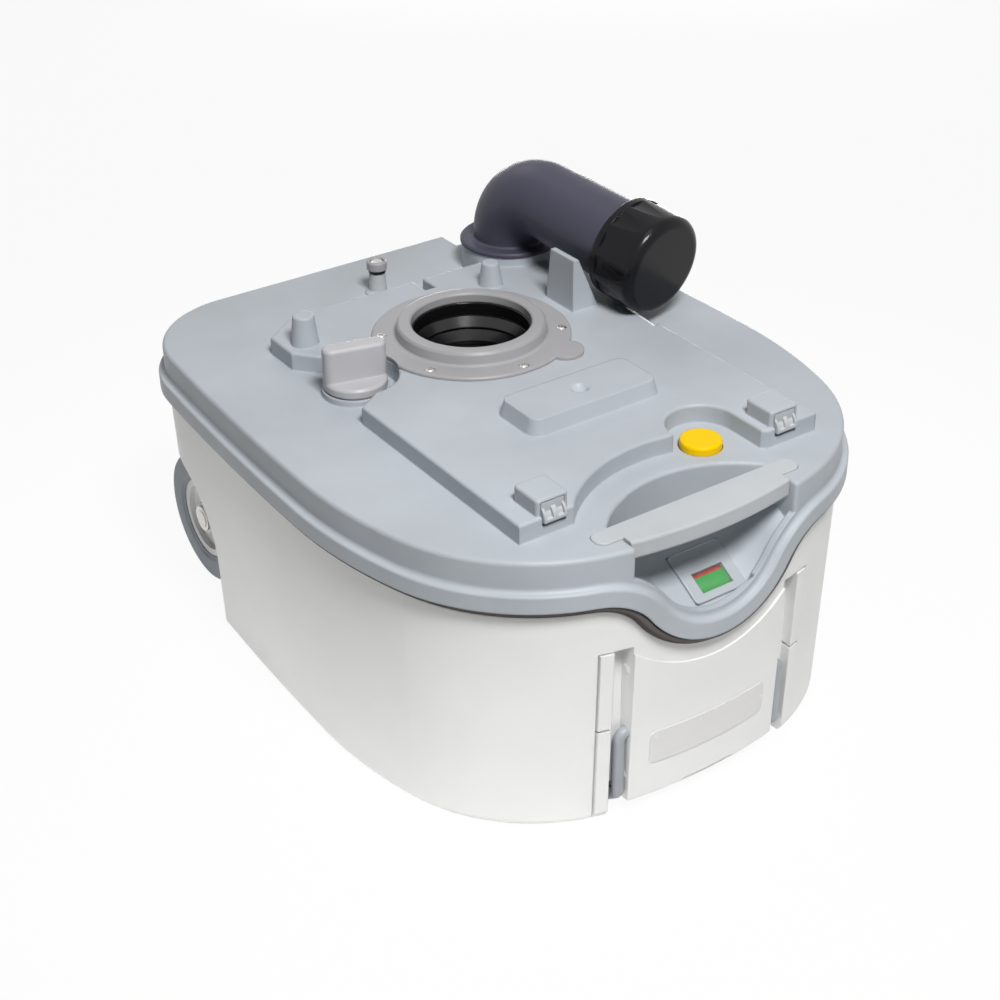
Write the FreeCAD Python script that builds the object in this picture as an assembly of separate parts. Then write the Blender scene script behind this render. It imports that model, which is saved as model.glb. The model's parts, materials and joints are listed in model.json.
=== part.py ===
import FreeCAD, Part
import math
import os

V = FreeCAD.Vector

# All sizes are in millimetres. X is to the right, the grip side faces -Y, Z is up,
# and the tank stands on z = 0.

# Plan of the lid at deck height: five tangent arcs on each side of x = 0
half_width = 168.0
widest_y = -29.0
plan_length = 413.5
front_y = -204.5
back_y = front_y + plan_length
front_radius = 291.0
front_corner_radius = 117.0
side_front_radius = 299.0
side_rear_radius = 2423.0
rear_corner_radius = 65.0

# Heights
deck_z = 187.0
lid_height = 30.0
platform_rise = 12.0
rim_height = 11.0
wall = 4.0
seam_z = deck_z - lid_height
platform_z = deck_z + platform_rise

# Offsets of the walls from the plan outline
rim_overhang = 4.8
rim_round = 1.3
rim_sweep = 2.9
deck_offset = 0.5
deck_edge_round = 2.5
tub_top_inset = 0.5
tub_base_inset = 4.4
tub_base_round = 4.0
groove_height = 6.0
groove_inset = 3.5
seam_seal_inset = 0.8
seam_land = 8.0

# Fits
run_fit = 0.06
free_gap = 0.4
seat_gap = 0.1

# Dip of the rim at the front
dip_half_width = 82.0
dip_depth = 43.0
dip_radius = 60.0
dip_end_y = -150.0

# Finger pocket and its sloped floor
pocket_half_width = 57.0
pocket_back_radius = 76.0
pocket_back_y = -147.0
pocket_corner = 8.0
pocket_slope = 30.0
pocket_wall = 4.5
pocket_floor = 4.0
pocket_edge_round = 2.0
scoop_depth = 6.5
scoop_lip = 4.0
scoop_lip_rise = 5.0

# Raised platform
platform_left_x = -106.0
platform_right_x = 107.0
platform_front_y = -160.0
platform_from_back = 76.0
platform_back_y = back_y - platform_from_back
platform_corner_x = -82.0
platform_corner = 18.0
platform_front_radius = 94.0
platform_edge_round = 1.6
slot_left_x = 12.7
slot_right_x = 20.5
slot_depth = 16.0

# Inlet
mouth_x = 0.0
mouth_from_back = 166.0
mouth_y = back_y - mouth_from_back
mouth_radius = 38.3
mouth_rise = 11.0
mouth_top_z = platform_z + mouth_rise
ring_flange_radius = 63.7
ring_flange = 2.3
ring_collar_radius = 47.5
ring_ear_radius = 12.0
ring_ear_reach = 64.0
ring_ear_angle = -58.0
screw_circle = 57.5
screw_count = 6
screw_radius = 1.6
screw_head_radius = 3.2
screw_head = 1.4
screw_length = 9.0
seal_radius = 42.0
seal_flange_radius = 46.0
seal_flange = 2.0
seal_rise = 4.6
seal_top_z = platform_z + seal_rise
seal_step = 1.0
seal_lip = 5.0

# Closing blade and its knob
knob_x = -88.0
knob_from_mouth = 3.0
knob_y = mouth_y - knob_from_mouth
knob_radius = 20.0
knob_disc = 6.6
knob_seat = 4.0
knob_seat_radius = 21.0
knob_low_z = deck_z + knob_seat + free_gap
knob_high_z = knob_low_z + knob_disc
knob_height = 33.0
knob_top_z = deck_z + knob_height
knob_fin_length = 40.0
knob_fin_width = 12.0
knob_turn = -13.0
knob_recess_radius = 27.0
knob_bay_front = 38.0
knob_bay_neck = 26.0
knob_bay_back = 48.0
shaft_radius = 6.0
shaft_boss_radius = 11.0
shaft_boss = 10.0
blade_radius = 46.0
blade_thickness = 3.0
blade_drop = 24.0
blade_top_z = platform_z - blade_drop
blade_hub_radius = 13.0
blade_hub = 10.0
blade_rib_length = 60.0
blade_rib = 5.0

# Vent button
button_x = 41.0
button_y = -134.5
button_radius = 12.7
button_rise = 5.0
button_top_z = deck_z + button_rise
button_depth = 7.0
button_cup_wall = 2.0
button_cup = 15.0
button_cup_floor_z = deck_z - button_cup
button_cup_floor = 3.0
button_recess_x = 45.0
button_recess_y = -131.0
button_recess_radius = 22.0
stem_radius = 3.5
button_valve_radius = 9.0
button_valve = 3.0

# Docking vent behind the inlet
vent_x = -2.0
vent_from_back = 54.0
vent_y = back_y - vent_from_back
vent_foot_radius = 9.0
vent_foot = 2.5
vent_base_radius = 6.4
vent_top_radius = 5.4
vent_post_height = 15.0
vent_ring_radius = 5.9
vent_ring_height = 2.0
vent_cap_radius = 6.9
vent_cap_height = 6.5
plunger_radius = 2.6
plunger_head_radius = 4.2
plunger_head = 1.6

# Spout and cap
spout_x = 98.7
spout_from_back = 67.7
spout_y = back_y - spout_from_back
spout_azimuth = 8.6
spout_drop = 8.0
spout_radius = 25.7
spout_neck_radius = 28.0
spout_wall = 3.5
spout_bend_radius = 34.4
spout_seat = 6.5
spout_collar_z = platform_z + spout_seat
spout_rise = 38.8
spout_top_z = spout_collar_z + spout_rise
spout_flange_radius = 35.0
spout_flange = 3.0
spout_foot = 1.2
spout_collar_radius = 34.0
spout_spigot_radius = 24.0
spout_spigot = 15.0
spout_spigot_z = deck_z - spout_spigot
spout_retainer_radius = 29.0
spout_retainer_height = 3.0
spout_cone_length = 64.0
spout_neck_end = 100.0
cap_start = 70.5
cap_end = 106.5
cap_radius = 33.8
cap_front_round = 6.5
cap_back_round = 1.2
cap_flutes = 12
cap_flute_radius = 40.0
cap_flute_depth = 1.3
cap_flute_start = 3.0
cap_flute_end = 7.0
cap_seal = 2.0
cap_lift = 12.0
cradle_gap = 1.5

# Carrying grip
grip_inset = 5.0
grip_back_y = -174.0
grip_lip_drop = 10.5
grip_lip_z = deck_z - grip_lip_drop
grip_rise = 0.8
grip_top_z = deck_z + grip_rise
grip_plate = 6.0
grip_lip = 5.0
grip_tab_reach = 72.0
grip_tab_front_y = -187.0
grip_tab_round = 5.5
grip_tab = 4.0
grip_peg_x = 64.5
grip_peg_radius = 3.0
grip_peg = 6.0
grip_round = 1.6

# Level gauge on the pocket floor
gauge_x = 8.0
gauge_y = -187.0
gauge_panel_x = 37.0
gauge_panel_y = 33.0
gauge_panel_shift = 5.0
gauge_panel = 2.8
gauge_panel_sink = 1.2
gauge_window_x = 22.0
gauge_window_y = 13.0
gauge_window = 1.0
gauge_drum_radius = 9.6
gauge_drum_depth = 9.6
gauge_drum_width = 22.0
gauge_axle_radius = 1.5
gauge_lug = 3.0
float_arm_length = 96.0
float_arm_droop = 26.0
float_arm_radius = 2.2
float_radius = 14.0
float_length = 46.0

# Snap catches
latch_x = 83.0
latch_half_width = 10.5
latch_front_y = -158.5
latch_back_y = -136.5
latch_height = 10.0
latch_top_z = platform_z + latch_height
latch_round = 2.0
catch_half_width = 7.5
catch_height = 11.0
catch_sink = 3.5
catch_low_z = platform_z - catch_sink
catch_high_z = catch_low_z + catch_height
catch_reach = 3.5
catch_depth = 8.0
catch_pocket_y = -141.0
catch_slot = 2.6

# Seat boss, posts and stop on the platform
boss_x = 1.5
boss_shift = 14.35
boss_y = (mouth_y - ring_flange_radius + pocket_back_y) / 2 + boss_shift
boss_half_length = 45.0
boss_half_width = 17.5
boss_height = 10.0
boss_top_z = platform_z + boss_height
boss_draft = 3.0
boss_round = 6.0
dimple_radius = 7.0
dimple_lift = 4.0
left_post_x = -91.7
left_post_y = mouth_y + 52.5
left_post_foot = 9.2
left_post_tip = 6.8
left_post_height = 19.5
right_post_x = 53.0
right_post_y = mouth_y + 56.0
right_post_foot = 8.6
right_post_tip = 5.6
right_post_height = 16.0
post_round = 1.2
stop_x = 71.5
stop_plate = 4.0
stop_length = 30.0
stop_back_y = mouth_y + 18.0
stop_front_y = stop_back_y - stop_length
stop_lean = 5.0
stop_height = 36.0
stop_top_z = platform_z + stop_height
stop_foot_x = 92.0
notch_left_x = 84.0
notch_right_x = 122.0
notch_from_back = 22.0
notch_front_y = back_y - notch_from_back
notch_depth = 11.0
notch_z = deck_z - notch_depth

# Front panel, channels and label
channel_in_x = 55.5
channel_out_x = 67.5
channel_floor_y = -187.5
channel_top_z = 121.0
flap_out_x = 75.5
flap_gap_z = 65.0
flap_gap = 2.0
line_width = 1.0
line_depth = 1.6
panel_rise = 1.3
flap_rise = 0.9
panel_low_z = 4.5
panel_corner = 6.0
smile_radius = 88.0
smile_z = 96.5
slot_line_left_x = -18.0
slot_line_right_x = 20.0
slot_line_z = 10.0
front_block_half = 85.0
front_block_y = -183.0
panel_hollow_half = 41.5
panel_hollow_y = -190.5
panel_hollow_z = 18.0
label_half = 43.0
label_low_z = 32.5
label_high_z = 55.5
label_round = 4.0
label_thickness = 0.6

# Tow handle
handle_y = -192.5
handle_z = 58.0
handle_x = 60.2
handle_radius = 3.5
handle_pin_x = 46.0
handle_bar_y = -180.5
handle_bar_z = 5.2
handle_knee_z = 15.0
handle_bend = 4.6
handle_gap = 1.2
detent_height = 0.7
detent_z = (26.0, 102.0)

# Wheels and their wells
wheel_from_back = 41.0
wheel_y = back_y - wheel_from_back
wheel_z = 49.0
wheel_radius = 46.0
wheel_in_x = 122.0
wheel_out_x = 144.0
tyre_in_radius = 28.0
tyre_round = 3.0
well_in_x = 118.0
well_gap = 12.0
axle_radius = 6.0
axle_root_x = 104.0
axle_boss_radius = 11.0
clip_radius = 9.0
clip_thickness = 1.6

far = 300.0


def box(x0, x1, y0, y1, z0, z1):
    return Part.makeBox(x1 - x0, y1 - y0, z1 - z0, V(x0, y0, z0))


def rod(x, y, z0, z1, radius):
    return Part.makeCylinder(radius, z1 - z0, V(x, y, z0))


def tube(x, y, z0, z1, inner, outer):
    return rod(x, y, z0, z1, outer).cut(rod(x, y, z0, z1, inner))


def rod_x(x0, x1, y, z, radius):
    return Part.makeCylinder(radius, x1 - x0, V(x0, y, z), V(1, 0, 0))


def cone(x, y, z0, z1, low_radius, high_radius):
    return Part.makeCone(low_radius, high_radius, z1 - z0, V(x, y, z0))


def turned(points, x, y):
    corners = [V(r, 0, z) for r, z in points]
    face = Part.Face(Part.makePolygon(corners + corners[:1]))
    solid = face.revolve(V(0, 0, 0), V(0, 0, 1), 360)
    solid.translate(V(x, y, 0))
    return solid


def prism_z(points, z0, z1):
    corners = [V(x, y, z0) for x, y in points]
    face = Part.Face(Part.makePolygon(corners + corners[:1]))
    return face.extrude(V(0, 0, z1 - z0))


def prism_x(points, x0, x1):
    corners = [V(x0, y, z) for y, z in points]
    face = Part.Face(Part.makePolygon(corners + corners[:1]))
    return face.extrude(V(x1 - x0, 0, 0))


def rounded_plate(x0, x1, y0, y1, z0, z1, radius):
    plate = box(x0, x1, y0, y1, z0, z1)
    corners = [e for e in plate.Edges if abs(e.Vertexes[0].Z - e.Vertexes[1].Z) > 1e-6]
    return plate.makeFillet(radius, corners)


def round_top(solid, z, radius):
    edges = [e for e in solid.Edges if min(v.Z for v in e.Vertexes) > z - 1e-6]
    return solid.makeFillet(radius, edges)


def mirrored(shape):
    return shape.mirror(V(0, 0, 0), V(1, 0, 0))


def both_sides(shape):
    return shape.fuse(mirrored(shape))


def arc_from(start, heading, end):
    reach = end - start
    half = reach.Length / 2
    turn = heading.getAngle(reach)
    across = heading * half / math.cos(turn) - reach / 2
    across.normalize()
    return Part.Arc(start, start + reach / 2 + across * half * math.tan(turn / 2), end).toShape()


def half_turn(start, first, end, last):
    reach = end - start
    lean = reach.dot(first + last)
    spread = 2 * (1 - first.dot(last))
    run = (math.sqrt(lean ** 2 + spread * reach.dot(reach)) - lean) / spread
    middle = (start + first * run + end - last * run) / 2
    return [arc_from(start, first, middle), arc_from(end, last * -1, middle)]


def coil(radius, wire, length, turns):
    pitch = (length - 2 * wire) / turns
    slope = pitch / (2 * math.pi)
    places = []
    for i in range(2 * turns + 1):
        turn = math.pi * i
        spot = V(radius * math.cos(turn), radius * math.sin(turn), wire + slope * turn)
        heading = V(-radius * math.sin(turn), radius * math.cos(turn), slope).normalize()
        places.append((spot, heading))
    edges = []
    for (start, first), (end, last) in zip(places, places[1:]):
        edges += half_turn(start, first, end, last)
    section = Part.Wire([Part.makeCircle(wire, places[0][0], places[0][1])])
    return Part.Wire(edges).makePipeShell([section], True, False)


def bent_rod(points, bend_radius, radius):
    edges = []
    start = points[0]
    for before, corner, after in zip(points, points[1:], points[2:]):
        back = (before - corner).normalize()
        ahead = (after - corner).normalize()
        half = back.getAngle(ahead) / 2
        run = bend_radius / math.tan(half)
        middle = (back + ahead).normalize() * (bend_radius / math.sin(half) - bend_radius)
        entry = corner + back * run
        leave = corner + ahead * run
        edges.append(Part.makeLine(start, entry))
        edges.append(Part.Arc(entry, corner + middle, leave).toShape())
        start = leave
    edges.append(Part.makeLine(start, points[-1]))
    path = Part.Wire(edges)
    section = Part.Wire([Part.makeCircle(radius, points[0], points[1] - points[0])])
    return path.makePipeShell([section], True, False)


def plan_arcs():
    a = V(0, front_y + front_radius, 0)
    c = V(half_width - side_front_radius, widest_y, 0)
    d = V(half_width - side_rear_radius, widest_y, 0)
    reach_a = front_radius - front_corner_radius
    reach_c = side_front_radius - front_corner_radius
    span = c - a
    gap = span.Length
    along = (reach_a ** 2 - reach_c ** 2 + gap ** 2) / (2 * gap)
    across = math.sqrt(reach_a ** 2 - along ** 2)
    span.normalize()
    b = a + span * along + V(-span.y, span.x, 0) * across
    rise = back_y - rear_corner_radius - widest_y
    reach_d = side_rear_radius - rear_corner_radius
    e = V(d.x + math.sqrt(reach_d ** 2 - rise ** 2), back_y - rear_corner_radius, 0)
    turns = [V(0, -1, 0), (b - a).normalize(), (b - c).normalize()]
    turns += [V(1, 0, 0), (e - d).normalize(), V(0, 1, 0)]
    radii = [front_radius, front_corner_radius, side_front_radius]
    radii += [side_rear_radius, rear_corner_radius]
    return list(zip([a, b, c, d, e], radii, turns, turns[1:]))


def plan_wire(offset, z):
    right = []
    for centre, radius, start, end in plan_arcs():
        middle = (start + end).normalize()
        reach = radius + offset
        arc = Part.Arc(centre + start * reach, centre + middle * reach, centre + end * reach)
        right.append(arc.toShape())
    left = [mirrored(edge) for edge in right]
    last = right[-1].Vertexes[-1].Point
    back = Part.makeLine(last, V(-last.x, last.y, 0))
    wire = Part.Wire(Part.__sortEdges__(right + [back] + left))
    wire.translate(V(0, 0, z))
    return wire


def plan_solid(offset, z0, z1):
    return Part.Face(plan_wire(offset, z0)).extrude(V(0, 0, z1 - z0))


def plan_loft(sections):
    return Part.makeLoft([plan_wire(offset, z) for offset, z in sections], True, True)


def dip_face(rise, y):
    theta = 2 * math.atan(dip_depth / dip_half_width)
    low = dip_radius - rise
    side = dip_half_width / math.sin(theta) - dip_radius + rise
    flat = seam_z + rise
    low_z = seam_z - dip_depth + dip_radius
    side_z = flat - side
    sine, cosine = math.sin(theta), math.cos(theta)
    half_sine, half_cosine = math.sin(theta / 2), math.cos(theta / 2)
    left_join = V(-low * sine, y, low_z - low * cosine)
    right_join = V(low * sine, y, left_join.z)
    left_flat = V(-dip_half_width, y, flat)
    right_flat = V(dip_half_width, y, flat)
    left_mid = V(-dip_half_width + side * half_sine, y, side_z + side * half_cosine)
    right_mid = V(-left_mid.x, y, left_mid.z)
    edges = [
        Part.makeLine(V(-far, y, flat), left_flat),
        Part.Arc(left_flat, left_mid, left_join).toShape(),
        Part.Arc(left_join, V(0, y, low_z - low), right_join).toShape(),
        Part.Arc(right_join, right_mid, right_flat).toShape(),
        Part.makeLine(right_flat, V(far, y, flat)),
        Part.makeLine(V(far, y, flat), V(far, y, 2 * far)),
        Part.makeLine(V(far, y, 2 * far), V(-far, y, 2 * far)),
        Part.makeLine(V(-far, y, 2 * far), V(-far, y, flat)),
    ]
    return Part.Face(Part.Wire(edges))


def above_dip(rise):
    front = dip_face(rise, -far).extrude(V(0, dip_end_y + far, 0))
    back = box(-far, far, dip_end_y, far, seam_z + rise, 2 * far)
    return front.fuse(back)


def above_floor(depth):
    slope = math.tan(math.radians(pocket_slope))
    start = -far
    face = dip_face(rim_height - depth, start)
    face.translate(V(0, 0, (start - front_y) * slope))
    return face.extrude(V(0, far, far * slope))


def floor_z(y):
    rise = (y - front_y) * math.tan(math.radians(pocket_slope))
    return seam_z + rim_height - dip_depth + rise


def scoop(depth):
    plane = prism_x([
        (-far, floor_z(-far) - depth), (0, floor_z(0) - depth), (0, 2 * far), (-far, 2 * far)], -far, far)
    return above_floor(scoop_depth + depth).common(plane)


def pocket_plan(grow):
    centre_y = pocket_back_y - pocket_back_radius
    disc = rod(0, centre_y, -far, far, pocket_back_radius + grow)
    reach = pocket_half_width + grow
    plan = disc.common(box(-reach, reach, -far, far, -far, far))
    plan = plan.fuse(box(-reach, reach, -far, centre_y, -far, far)).removeSplitter()
    corners = [e for e in plan.Edges if abs(e.Vertexes[0].Z - e.Vertexes[-1].Z) > far
               and e.Vertexes[0].Y > centre_y + 1 and abs(abs(e.Vertexes[0].X) - reach) < 1e-6]
    return plan.makeFillet(pocket_corner + grow, corners)


def gauge_place(shape):
    shape.rotate(V(0, 0, 0), V(1, 0, 0), pocket_slope)
    shape.translate(V(gauge_x, gauge_y, floor_z(gauge_y)))
    return shape


def gauge_axis():
    point = Part.Vertex(0, 0, -gauge_drum_depth)
    return gauge_place(point).Point


def platform_solid(inset, z0, z1):
    left = platform_left_x + inset
    right = platform_right_x - inset
    front = platform_front_y + inset
    back = platform_back_y - inset
    plan = [(left, front), (right, front), (right, back), (platform_corner_x, back)]
    plan += [(left, platform_back_y - platform_corner)]
    solid = prism_z(plan, z0, z1)
    centre_y = pocket_back_y - pocket_back_radius
    solid = solid.cut(rod(0, centre_y, z0, z1, platform_front_radius + inset))
    reach = button_recess_radius + inset
    solid = solid.cut(rod(button_recess_x, button_recess_y, z0, z1, reach))
    solid = solid.cut(box(0, button_recess_x + reach, -far, button_recess_y, z0, z1))
    slot_y = platform_back_y - slot_depth
    solid = solid.cut(box(slot_left_x - inset, slot_right_x + inset, slot_y - inset, far, z0, z1))
    return solid.cut(knob_recess(inset, z0, z1))


def knob_recess(grow, z0, z1):
    disc = rod(knob_x, knob_y, z0, z1, knob_recess_radius + grow)
    left = platform_left_x - far
    front = knob_y - knob_bay_front - grow
    back = knob_y + knob_bay_back + grow
    neck = knob_bay_neck + grow
    bay = prism_z([
        (left, front), (platform_left_x, front), (knob_x, knob_y - neck), (knob_x, knob_y + neck),
        (platform_left_x, back), (left, back)], z0, z1)
    return disc.fuse(bay)


def latch_block(x):
    low = rounded_plate(x - latch_half_width, x + latch_half_width, latch_front_y,
                        latch_back_y, platform_z - 2, latch_top_z, latch_round)
    return round_top(low, latch_top_z, latch_round * 0.8)


def latch_pocket(x):
    half = catch_half_width + free_gap
    pocket = box(x - half, x + half, -far, catch_pocket_y,
                 catch_low_z - free_gap, catch_high_z + free_gap)
    front = latch_front_y - 1
    pocket = pocket.common(box(x - half, x + half, front - 3, catch_pocket_y, 0, far))
    slot = box(x - half, x + half, front - 3, latch_front_y + catch_depth,
               catch_low_z - catch_slot, catch_low_z)
    return pocket.fuse(slot)


def seat_boss():
    wires = []
    for z, grow in ((platform_z - 1, boss_draft), (boss_top_z, 0)):
        plate = rounded_plate(
            boss_x - boss_half_length - grow, boss_x + boss_half_length + grow,
            boss_y - boss_half_width - grow, boss_y + boss_half_width + grow,
            z, z + 1, boss_round + grow)
        wires.append(min(plate.Faces, key=lambda f: f.CenterOfMass.z).OuterWire)
    return Part.makeLoft(wires, True, True)


def spout_stop():
    low = platform_z - 1
    plate = prism_x([
        (stop_front_y, low), (stop_back_y, low), (stop_back_y - stop_lean, stop_top_z),
        (stop_front_y, stop_top_z)], stop_x, stop_x + stop_plate)
    corners = [V(stop_x, stop_front_y, low), V(stop_foot_x, stop_front_y, low),
               V(stop_x + stop_plate, stop_front_y, stop_top_z), V(stop_x, stop_front_y, stop_top_z)]
    gusset = Part.Face(Part.makePolygon(corners + corners[:1]))
    return plate.fuse(gusset.extrude(V(0, stop_plate, 0)))


def guide_post(x, y, foot, tip, height):
    post = cone(x, y, platform_z - 1, platform_z + height, foot, tip)
    return round_top(post, platform_z + height, post_round)


def lid_hollow():
    hollow = plan_solid(-seam_land, seam_z - dip_depth - 5, deck_z - wall)
    upper = plan_solid(-wall, seam_z + rim_height - wall, deck_z - wall)
    hollow = hollow.fuse(upper).fuse(platform_solid(wall, deck_z - wall - 1, platform_z - wall))
    hollow = hollow.cut(scoop(pocket_floor).common(pocket_plan(pocket_wall)))
    bosses = both_sides(box(pocket_half_width - 2, grip_tab_reach + wall,
                            grip_tab_front_y - wall, grip_back_y + wall,
                            deck_z - grip_tab - grip_peg - wall, deck_z))
    hollow = hollow.cut(bosses)
    hollow = hollow.cut(box(notch_left_x - wall, notch_right_x + wall, notch_front_y - wall,
                            far, notch_z - wall, deck_z))
    hollow = hollow.cut(rod(knob_x, knob_y, deck_z - shaft_boss, deck_z, shaft_boss_radius))
    hollow = hollow.cut(rod(spout_x, spout_y, spout_spigot_z + spout_retainer_height + 2,
                            platform_z, spout_collar_radius))
    cup = button_radius + free_gap + button_cup_wall
    hollow = hollow.cut(rod(button_x, button_y, button_cup_floor_z, deck_z, cup))
    for x, y in screw_places():
        hollow = hollow.cut(rod(x, y, platform_z - screw_length - 1, platform_z, 4))
    axis = gauge_axis()
    lug_x = gauge_drum_width / 2 + free_gap
    for side in (-lug_x - gauge_lug, lug_x):
        lug = box(gauge_x + side, gauge_x + side + gauge_lug, axis.y - 6, axis.y + 6,
                  axis.z - 4, axis.z + 12)
        hollow = hollow.cut(lug)
    return hollow


def screw_places():
    places = []
    for i in range(screw_count):
        turn = math.radians(30 + 360 * i / screw_count)
        places.append((mouth_x + screw_circle * math.cos(turn),
                       mouth_y + screw_circle * math.sin(turn)))
    return places


def lid_block():
    low = seam_z - dip_depth - 5
    ledge = above_dip(rim_height)
    rim = plan_solid(rim_overhang, low, seam_z + rim_height).common(above_dip(0)).cut(ledge)
    deck = plan_solid(deck_offset, low, deck_z).common(above_dip(rim_height - 1))
    block = rim.fuse(deck).removeSplitter()
    for offset, radius in ((rim_overhang, rim_round), (deck_offset, rim_sweep)):
        block = block.makeFillet(radius, ledge_edges(block, ledge, offset))
    return round_top(block, deck_z, deck_edge_round)


def ledge_edges(block, ledge, offset):
    outline = plan_wire(offset, 0)
    edges = []
    for edge in block.Edges:
        middle = edge.valueAt((edge.FirstParameter + edge.LastParameter) / 2)
        on_ledge = ledge.Shells[0].distToShape(Part.Vertex(middle))[0] < 1e-3
        on_outline = outline.distToShape(Part.Vertex(middle.x, middle.y, 0))[0] < 1e-3
        if on_ledge and on_outline:
            edges.append(edge)
    return edges


def lid_holes():
    holes = [
        rod(mouth_x, mouth_y, 0, far, seal_radius + free_gap),
        rod(mouth_x, mouth_y, platform_z - seal_flange, far, seal_flange_radius + free_gap),
        rod(knob_x, knob_y, 0, far, shaft_radius + run_fit),
        rod(spout_x, spout_y, 0, far, spout_spigot_radius + run_fit),
        rod(button_x, button_y, 0, far, stem_radius + run_fit),
        rod(button_x, button_y, button_cup_floor_z + button_cup_floor, far, button_radius + free_gap),
        rod(vent_x, vent_y, 0, far, plunger_head_radius + free_gap),
    ]
    for x, y in screw_places():
        holes.append(rod(x, y, platform_z - screw_length, far, screw_radius + seat_gap))
    return holes


def gauge_cuts():
    reach_x, reach_y = gauge_panel_x / 2 + seat_gap, gauge_panel_y / 2 + seat_gap
    seat = box(-reach_x, reach_x, gauge_panel_shift - reach_y, gauge_panel_shift + reach_y,
               -gauge_panel_sink, 20)
    half = gauge_drum_width / 2 + free_gap
    reach = gauge_drum_radius + free_gap
    room = box(-half, half, -reach, reach, -gauge_drum_depth, 0)
    axis = gauge_axis()
    pin = rod_x(gauge_x - far, gauge_x + far, axis.y, axis.z, gauge_axle_radius + seat_gap)
    ends = gauge_drum_width / 2 + free_gap + gauge_lug - 0.5
    pin = pin.common(box(gauge_x - ends, gauge_x + ends, -far, far, 0, far))
    return [gauge_place(seat), gauge_place(room), pin]


def grip_seats():
    gap = seat_gap
    seat = rounded_plate(-grip_tab_reach - gap, grip_tab_reach + gap, grip_tab_front_y - gap,
                         grip_back_y + gap, deck_z - grip_tab, far, grip_tab_round)
    peg = rod(grip_peg_x, (grip_tab_front_y + grip_back_y) / 2, deck_z - grip_tab - grip_peg - 0.5,
              deck_z, grip_peg_radius + gap)
    return [seat, peg, mirrored(peg)]


def upper_shell():
    shell = lid_block().cut(lid_hollow())
    inside = plan_solid(-scoop_lip, 0, 2 * far)
    over_lip = above_dip(rim_height + scoop_lip_rise).cut(inside)
    shell = shell.cut(pocket_plan(0).common(scoop(0).common(inside)))
    shell = shell.cut(pocket_plan(0).common(over_lip))
    rim = [e for e in shell.Edges if min(v.Z for v in e.Vertexes) > deck_z - 1e-6
           and max(v.Y for v in e.Vertexes) < pocket_back_y + 1
           and max(abs(v.X) for v in e.Vertexes) < pocket_half_width + 1]
    shell = shell.makeFillet(pocket_edge_round, rim)
    platform = platform_solid(0, deck_z - 1, platform_z)
    platform = round_top(platform, platform_z, platform_edge_round)
    shell = shell.fuse(platform.cut(platform_solid(wall, 0, platform_z - wall)))
    tops = [latch_block(latch_x), latch_block(-latch_x), seat_boss(), spout_stop()]
    tops.append(guide_post(left_post_x, left_post_y, left_post_foot, left_post_tip, left_post_height))
    tops.append(guide_post(right_post_x, right_post_y, right_post_foot, right_post_tip, right_post_height))
    for x, y in screw_places():
        tops.append(rod(x, y, platform_z - screw_length - 1, platform_z - 1, 4))
    tops.append(rod(spout_x, spout_y, deck_z - 1, spout_collar_z, spout_collar_radius))
    tops.append(rod(knob_x, knob_y, deck_z - 1, deck_z + knob_seat, knob_seat_radius))
    shell = shell.multiFuse(tops)
    cuts = lid_holes() + gauge_cuts() + grip_seats()
    cuts += [latch_pocket(latch_x), latch_pocket(-latch_x)]
    cuts.append(box(notch_left_x, notch_right_x, notch_front_y, far, notch_z, far))
    cuts.append(along_spout(cap_start - 3, cap_end + cap_lift + 3, cap_radius + cradle_gap))
    dimple = Part.makeSphere(dimple_radius, V(boss_x, boss_y, boss_top_z + dimple_lift))
    return shell.cut(Part.makeCompound(cuts + [dimple]))


def well_shape(grow):
    radius = wheel_radius + well_gap + grow
    inner_x = well_in_x - grow
    well = rod_x(inner_x, far, wheel_y, wheel_z, radius)
    well = well.fuse(box(inner_x, far, wheel_y - radius, far, -far, wheel_z))
    return well.fuse(box(inner_x, far, wheel_y, far, wheel_z, wheel_z + radius))


def base_knee():
    draft = (tub_base_inset - tub_top_inset) / seam_z
    return tub_base_inset - draft * tub_base_round


def tub_skin(rise):
    return plan_loft([(rise - base_knee(), tub_base_round), (rise - tub_top_inset, seam_z)])


def tub_block():
    block = plan_loft([
        (-tub_base_inset - tub_base_round * 0.6, 0),
        (-tub_base_inset - tub_base_round * 0.2, tub_base_round * 0.3),
        (-base_knee(), tub_base_round), (-tub_top_inset, seam_z)])
    block = block.cut(above_dip(0))
    groove = plan_solid(far / 10, 0, seam_z).cut(plan_solid(-groove_inset, 0, seam_z))
    return block.cut(groove.common(above_dip(-groove_height)))


def seam_seal():
    ring = plan_solid(-seam_seal_inset, 0, seam_z).cut(plan_solid(-groove_inset, 0, seam_z))
    return ring.common(above_dip(-groove_height)).cut(above_dip(-seat_gap))


def tub_hollow():
    inset = tub_base_inset + wall
    hollow = plan_loft([(-inset - 2, wall), (-inset, 2 * wall), (-seam_land, far)])
    hollow = hollow.cut(box(-front_block_half, front_block_half, -far, front_block_y, 0, far))
    hollow = hollow.fuse(box(-panel_hollow_half, panel_hollow_half, panel_hollow_y,
                             front_block_y + 1, panel_hollow_z, far))
    notch = handle_bar_y + handle_radius + handle_gap + wall
    hollow = hollow.cut(box(-front_block_half, front_block_half, -far, notch, 0, handle_knee_z + 10))
    hollow = hollow.cut(both_sides(well_shape(wall)))
    boss = rod_x(axle_root_x - wall, well_in_x, wheel_y, wheel_z, axle_boss_radius)
    return hollow.cut(both_sides(boss))


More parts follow.
